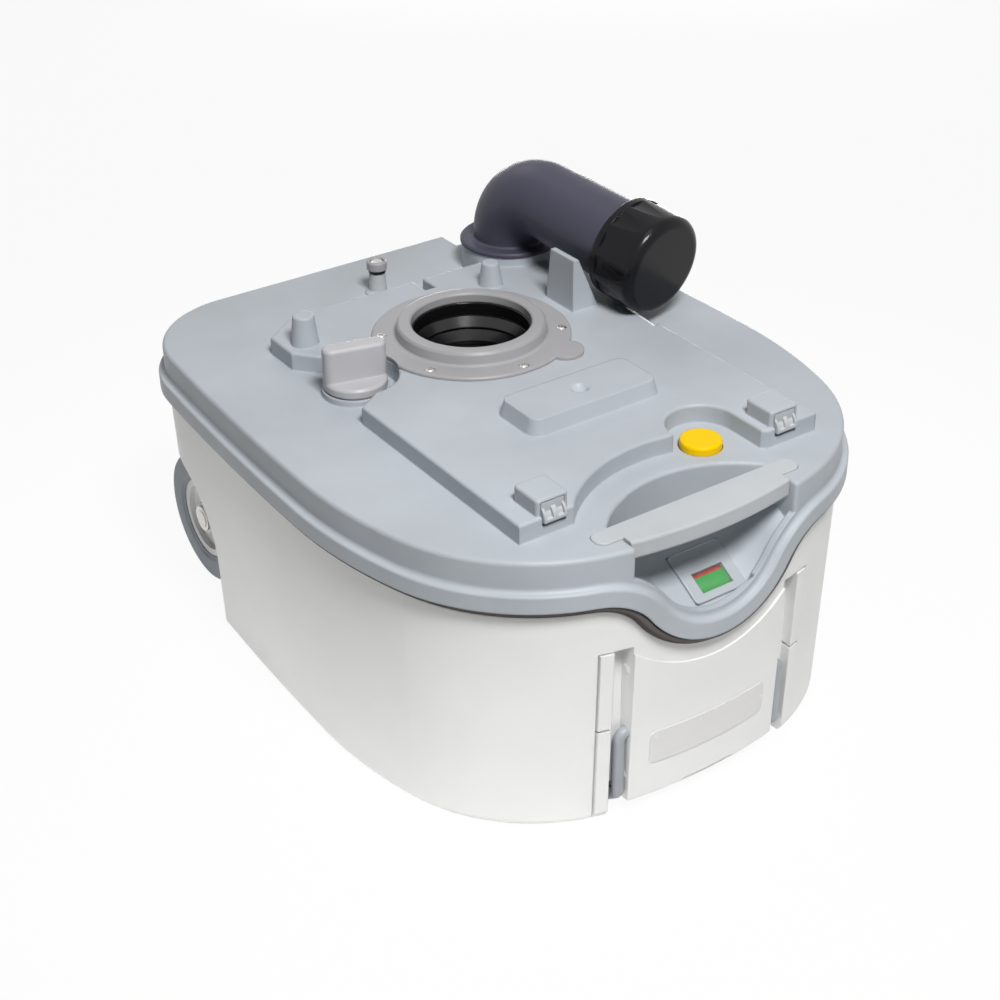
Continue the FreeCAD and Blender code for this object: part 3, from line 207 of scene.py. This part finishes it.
def plastic(name, colour, roughness, grain=1600.0, grain_bump=0.06, edge=0.9 * MM, mottle=0.03,
            edge_wear_and_sheen=0.10, coat=0.0, specular=0.5):
    """Moulded plastic: faint mottling, a fine eroded grain, and lighter edges that are partly wear and
    partly a painted highlight.
    """
    cloud_scale, scuff_scale = 14.0, 60.0
    smoother, rougher = 0.05, 0.06
    edge_sharp, edge_flat = 0.80, 0.985
    wear_and_sheen_shade = 1.25
    grain_depth = 0.15 * MM
    coat_roughness = 0.12

    g = material_graph(name)
    cloud = g.vary(g.noise(cloud_scale, detail=4.0), 0.0, 1.0)
    base = g.mix(cloud, linear(shade(colour, 1 - mottle)), linear(shade(colour, 1 + mottle)))
    soft = g.soft_normal(edge)
    # Lighter along edges: partly wear, partly a painted highlight where rounded edges catch the light
    worn_and_sheen = g.math("MULTIPLY", g.edge_mask(soft, edge_sharp, edge_flat), edge_wear_and_sheen)
    scuff = g.noise(scuff_scale, detail=6.0, roughness=0.65)
    g.dress(Base_Color=g.mix(worn_and_sheen, base, linear(shade(colour, wear_and_sheen_shade))),
            Roughness=g.vary(scuff, roughness - smoother, roughness + rougher),
            Normal=g.bump(g.noise(grain), grain_bump, grain_depth, soft),
            Specular_IOR_Level=specular, Coat_Weight=coat, Coat_Roughness=coat_roughness)
    return g.owner


def metal(name, colour, roughness, stretch):
    """Brushed metal, with its lines drawn out by the stretch."""
    brush_scale, brush_bump, brush_depth = 900.0, 0.08, 0.05 * MM
    dark, light = 0.85, 1.1
    roughness_change = 0.08
    edge = 0.3 * MM

    g = material_graph(name)
    brushed = g.noise(brush_scale, detail=3.0, roughness=0.6, stretch=stretch)
    g.dress(Base_Color=g.mix(brushed, linear(shade(colour, dark)), linear(shade(colour, light))),
            Roughness=g.vary(brushed, roughness - roughness_change, roughness + roughness_change),
            Normal=g.bump(brushed, brush_bump, brush_depth, g.soft_normal(edge)),
            Metallic=1.0)
    return g.owner


def rubber(name, colour, roughness, grain, edge=0.5 * MM):
    """Rubber with a faint bloom and a fine grain."""
    bloom_scale, bloom_start, bloom_full, bloom_shade = 40.0, 0.35, 0.75, 1.12
    smoother, rougher = 0.06, 0.08
    grain_bump, grain_depth = 0.08, 0.1 * MM

    g = material_graph(name)
    noise = g.noise(bloom_scale, detail=5.0, roughness=0.6)
    bloom = g.spread(noise, bloom_start, bloom_full, 0.0, 1.0)
    fine = g.noise(grain, detail=3.0)
    g.dress(Base_Color=g.mix(bloom, linear(colour), linear(shade(colour, bloom_shade))),
            Roughness=g.vary(noise, roughness - smoother, roughness + rougher),
            Normal=g.bump(fine, grain_bump, grain_depth, g.soft_normal(edge)))
    return g.owner


def drum_paint(name, axis, split_deg):
    """Level drum: red before the dividing angle about its axis and green past it."""
    greens = linear((4, 138, 36)), linear((18, 166, 52))
    reds = linear((190, 30, 26)), linear((208, 44, 38))
    tone_scale, roughness = 300.0, 0.32
    grain, grain_bump, grain_depth = 2200.0, 0.05, 0.1 * MM
    edge = 0.4 * MM

    g = material_graph(name)
    split = g.add("ShaderNodeSeparateXYZ")
    g.feed(g.place(), split.inputs["Vector"])
    across = g.math("SUBTRACT", split.outputs["Y"], axis[1])
    up = g.math("SUBTRACT", split.outputs["Z"], axis[2])
    red_side = g.math("LESS_THAN", g.math("ARCTAN2", up, across), math.radians(split_deg))
    tone = g.noise(tone_scale, detail=3.0)
    g.dress(Base_Color=g.mix(red_side, g.mix(tone, *greens), g.mix(tone, *reds)),
            Roughness=roughness,
            Normal=g.bump(g.noise(grain), grain_bump, grain_depth, g.soft_normal(edge)))
    return g.owner


def clear_lens(name):
    """Clear window that lets the light down to the drum and keeps a faint gloss of its own."""
    haze_scale = 220.0
    smooth, hazy = 0.05, 0.14
    thin, dense = 0.03, 0.06

    g = material_graph(name)
    haze = g.noise(haze_scale, detail=4.0)
    g.dress(Base_Color=linear((244, 249, 247)), IOR=1.49,
            Roughness=g.vary(haze, smooth, hazy), Alpha=g.vary(haze, thin, dense))
    return g.owner


joint_place = {joint["name"]: joint["pos_m"] for joint in frame["joints"] if "pos_m" in joint}

# The edge_wear_and_sheen values set how much lighter edges are painted: wear and painted highlight
# together
finishes = {
    "lid_grey": plastic("lid_grey", (182, 188, 194), 0.40, edge=1.6 * MM, edge_wear_and_sheen=0.16, specular=0.25),
    "tub_white": plastic("tub_white", (239, 239, 238), 0.34, mottle=0.010, edge_wear_and_sheen=0.04, coat=0.08),
    "grip_grey": plastic("grip_grey", (190, 194, 197), 0.42, edge_wear_and_sheen=0.14, specular=0.3),
    "ring_grey": plastic("ring_grey", (166, 165, 167), 0.36, edge=1.2 * MM, edge_wear_and_sheen=0.18, specular=0.3),
    "seal_black": rubber("seal_black", (14, 14, 15), 0.20, grain=1500.0, edge=1.0 * MM),
    # seam_dark: dark grey seal that stands in for the shadow gap under the rim, a painted shadow
    "seam_dark": rubber("seam_dark", (82, 77, 75), 0.6, grain=1200.0, edge=0.2 * MM),
    "blade_black": plastic("blade_black", (17, 17, 18), 0.4, specular=0.3, edge_wear_and_sheen=0.0),
    "spout_slate": plastic("spout_slate", (74, 73, 88), 0.42, grain=1300.0, grain_bump=0.09,
                           edge_wear_and_sheen=0.06, specular=0.2),
    "cap_black": plastic("cap_black", (17, 16, 20), 0.20, grain=2200.0, grain_bump=0.02,
                         edge_wear_and_sheen=0.10, specular=0.20),
    "button_yellow": plastic("button_yellow", (255, 205, 2), 0.36, mottle=0.02, edge_wear_and_sheen=0.05,
                             specular=0.12),
    "inner_white": plastic("inner_white", (224, 224, 221), 0.42),
    "lens_clear": clear_lens("lens_clear"),
    "label_silver": plastic("label_silver", (226, 225, 224), 0.24, edge=0.15 * MM, mottle=0.004,
                            edge_wear_and_sheen=0.0, coat=0.3),
    "handle_grey": plastic("handle_grey", (162, 166, 172), 0.40, edge_wear_and_sheen=0.08),
    "tyre_grey": rubber("tyre_grey", (132, 137, 144), 0.5, grain=900.0),
    "hub_white": plastic("hub_white", (226, 226, 224), 0.38),
    "steel": metal("steel", (205, 202, 198), 0.28, stretch=(1.0, 1.0, 6.0)),
    "drum_green": drum_paint("drum_green", joint_place["gauge_swing"], split_deg=95.0),
}

own_finish = {
    "valve_knob": plastic("knob_grey", (190, 189, 192), 0.36, edge=1.6 * MM, edge_wear_and_sheen=0.18, specular=0.3),
    "gauge_panel": plastic("panel_grey", (180, 186, 191), 0.38, edge=0.6 * MM, edge_wear_and_sheen=0.12),
}

slot_of = {part["node"]: part["material_slot"] for part in frame["record"]["subparts"]}
for name, node in frame["nodes"].items():
    node.data.materials.clear()
    node.data.materials.append(own_finish.get(name, finishes[slot_of[name]]))


# Pieces of the scene's own

def new_piece(name, mesh):
    piece = bpy.data.objects.new(name, mesh)
    scene.collection.objects.link(piece)
    return piece


def stand_for(piece, node, body):
    """Dresses the piece as the CAD node that it replaces."""
    piece.data.materials.clear()
    piece.data.materials.append(finishes[slot_of[node]])
    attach(piece, body)
    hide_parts(node)


# Turned tyres, with rounded edges that the plain solids lack

def rounded(profile, radius, parts=5, largest_share=0.45):
    """The closed outline with each corner drawn as a short curve."""
    smooth = []
    for before, corner, after in zip(profile[-1:] + profile[:-1], profile, profile[1:] + profile[:1]):
        before, corner, after = Vector(before), Vector(corner), Vector(after)
        reach_in = min(radius, (before - corner).length * largest_share)
        reach_out = min(radius, (after - corner).length * largest_share)
        entry = corner + (before - corner).normalized() * reach_in
        leave = corner + (after - corner).normalized() * reach_out
        for i in range(parts + 1):
            t = i / parts
            smooth.append(entry * (1 - t) ** 2 + corner * 2 * t * (1 - t) + leave * t ** 2)
    return smooth


def lathe(name, profile, centre, steps=160):
    """Turns an outline of (radius, distance along X) points about the axis through centre."""
    vertices = []
    for i in range(steps):
        turn = 2 * math.pi * i / steps
        for radius, along in profile:
            offset = Vector((along, radius * math.cos(turn), radius * math.sin(turn)))
            vertices.append(Vector(centre) + offset)
    count = len(profile)
    faces = []
    for i in range(steps):
        here, there = i * count, (i + 1) % steps * count
        for j in range(count):
            k = (j + 1) % count
            faces.append((here + j, there + j, there + k, here + k))
    mesh = bpy.data.meshes.new(name)
    mesh.from_pydata(vertices, [], faces)
    mesh.shade_smooth()
    return new_piece(name, mesh)


def turned_tyre(side):
    """Smooth wheel ring with round shoulders, a moulding line and a step beside the hub."""
    node = side + "_tyre"
    low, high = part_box(node)
    centre = joint_place[side + "_wheel_spin"]
    outer = (high[2] - low[2]) / 2
    inner = min(math.hypot(vertex.co.y - centre[1], vertex.co.z - centre[2])
                for vertex in frame["nodes"][node].data.vertices)
    half = (high[0] - low[0]) / 2
    line = 0.25 * MM
    step = 1.2 * MM
    shoulder = 4.0 * MM
    profile = [
        (inner, -half + step), (inner + 2 * step, -half + step), (inner + 3 * step, -half), (outer, -half),
        (outer, -2 * line), (outer + line, -line), (outer + line, line), (outer, 2 * line),
        (outer, half), (inner + 3 * step, half), (inner + 2 * step, half - step), (inner, half - step)]
    middle = ((low[0] + high[0]) / 2, centre[1], centre[2])
    stand_for(lathe(node + "_ring", rounded(profile, shoulder), middle), node, side + "_wheel")


for side in ("left", "right"):
    turned_tyre(side)


# Dark lip on the seam seal, a painted shadow: a thin dark line under the rim in place of the shadow gap

def shadow_gap_lip(node="seam_seal"):
    """A thinner copy of the dark seal whose outer wall is drawn out under the rim, as a painted shadow
    line.
    """
    reach = 4.4 * MM
    rise = 3.8 * MM
    weld = 0.001 * MM
    wall_slope = 0.5
    low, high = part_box(node)
    middle = (low + high) / 2
    mesh = frame["nodes"][node].data.copy()
    ring = bmesh.new()
    ring.from_mesh(mesh)
    bmesh.ops.remove_doubles(ring, verts=ring.verts, dist=weld)
    ring.normal_update()
    moves = []
    for vertex in ring.verts:
        move = Vector((0, 0, 0))
        for face in vertex.link_faces:
            if abs(face.normal.z) < wall_slope and face.normal.dot(vertex.co - middle) > 0:
                move += face.normal * Vector((1, 1, 0))
        move = move.normalized() * reach
        if any(face.normal.z < -wall_slope for face in vertex.link_faces):
            move.z = rise
        moves.append(move)
    for vertex, move in zip(ring.verts, moves):
        vertex.co += move
    ring.to_mesh(mesh)
    ring.free()
    piece = new_piece("shadow_gap_lip", mesh)
    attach(piece, "tank")


shadow_gap_lip()


# Springs, each a copy of its CAD node on its joint's parent body

def pressed_spring(joint, coil):
    node, axis = coil["node"], coil["mode"][-1]
    piece = new_piece(node + "_coil", frame["nodes"][node].data.copy())
    stand_for(piece, node, joint["parent"])
    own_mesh(piece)


for joint in frame["joints"]:
    for coil in joint.get("deforming_nodes", ()):
        pressed_spring(joint, coil)


# Stage: pale floor and surroundings

PALE_LEVEL = 0.94


def background_seen(g):
    """1 for the camera's rays and those off gloss or through glass, which find the background pale."""
    paths = g.add("ShaderNodeLightPath")
    seen = g.math("MAXIMUM", paths.outputs["Is Camera Ray"], paths.outputs["Is Glossy Ray"])
    return g.math("MAXIMUM", seen, paths.outputs["Is Transmission Ray"])


def floor_material():
    """Pale round the part and darker further out, so that little light comes back to its top."""
    near, far = (0.85, 0.85, 0.84, 1.0), (0.25, 0.25, 0.25, 1.0)
    pool_radius = 0.9 * (cad_box[1][1] - cad_box[0][1])

    g = material_graph("pale_floor")
    g.nodes.remove(g.nodes["Principled BSDF"])
    reach = g.add("ShaderNodeVectorMath", operation="LENGTH")
    g.feed(g.place(), reach.inputs[0])
    fade = g.spread(reach.outputs["Value"], pool_radius, 2 * pool_radius, 0.0, 1.0)
    diffuse = g.add("ShaderNodeBsdfDiffuse")
    g.feed(g.mix(fade, near, far), diffuse.inputs["Color"])
    white = g.add("ShaderNodeEmission")
    white.inputs["Color"].default_value = WHITE
    pale = g.add("ShaderNodeMixShader")
    g.feed(g.math("MULTIPLY", background_seen(g), PALE_LEVEL), pale.inputs["Fac"])
    g.feed(diffuse.outputs["BSDF"], pale.inputs[1])
    g.feed(white.outputs["Emission"], pale.inputs[2])
    g.feed(pale.outputs["Shader"], g.nodes["Material Output"].inputs["Surface"])
    return g.owner


def studio_world():
    """Pale where it is seen, with next to no light of its own."""
    ambient = 0.03
    g = Graph(bpy.data.worlds.new("studio"))
    background = g.nodes["Background"]
    background.inputs["Color"].default_value = WHITE
    g.feed(g.spread(background_seen(g), 0.0, 1.0, ambient, PALE_LEVEL), background.inputs["Strength"])
    return g.owner


floor_size = 30.0
bpy.ops.mesh.primitive_plane_add(size=floor_size, location=(0, 0, 0))
floor = bpy.context.object
floor.name = "floor"
floor.data.materials.append(floor_material())
scene.world = studio_world()


# Soft studio lamps, in metres and watts

def softbox(name, place, target, size, power, spread_deg=180):
    data = bpy.data.lights.new(name, "AREA")
    data.shape = "RECTANGLE"
    data.size, data.size_y = size
    data.energy = power
    data.spread = math.radians(spread_deg)
    lamp = bpy.data.objects.new(name, data)
    scene.collection.objects.link(lamp)
    lamp.location = place
    lamp.rotation_euler = (Vector(target) - Vector(place)).to_track_quat("-Z", "Y").to_euler()


middle = (0, 0, 0.12)
softbox("key_light", place=(-0.25, -0.90, 1.50), target=middle, size=(0.4, 0.4), power=26)
softbox("top_light", place=(-0.10, -0.15, 1.80), target=middle, size=(0.5, 0.5), power=2)
softbox("rear_fill", place=(0.95, 1.20, 0.11), target=(0, 0, 0.09), size=(0.9, 0.18), power=5)
softbox("back_light", place=(0.10, 1.30, 1.30), target=middle, size=(0.6, 0.6), power=2.5)
softbox("floor_glow", place=(-0.75, -0.25, 0.05), target=(-0.1, 0, 0), size=(0.5, 0.08), power=0.09,
        spread_deg=40)


# The photograph's camera

def photo_camera():
    sensor_mm, lens_mm = 36.0, 64.76
    place = (-0.5660, -0.8176, 0.7125)
    right = Vector((0.8226, -0.5686, -0.0110)).normalized()
    away = Vector((-0.479, -0.7025, 0.5265))
    back = (away - right * away.dot(right)).normalized()
    up = back.cross(right)
    data = bpy.data.cameras.new("photo_camera")
    data.sensor_width = sensor_mm
    data.lens = lens_mm
    camera = bpy.data.objects.new("photo_camera", data)
    scene.collection.objects.link(camera)
    stand = Matrix((right, up, back)).transposed().to_4x4()
    stand.translation = place
    camera.matrix_world = stand
    return camera


scene.camera = photo_camera()
scene.view_settings.view_transform = "Standard"
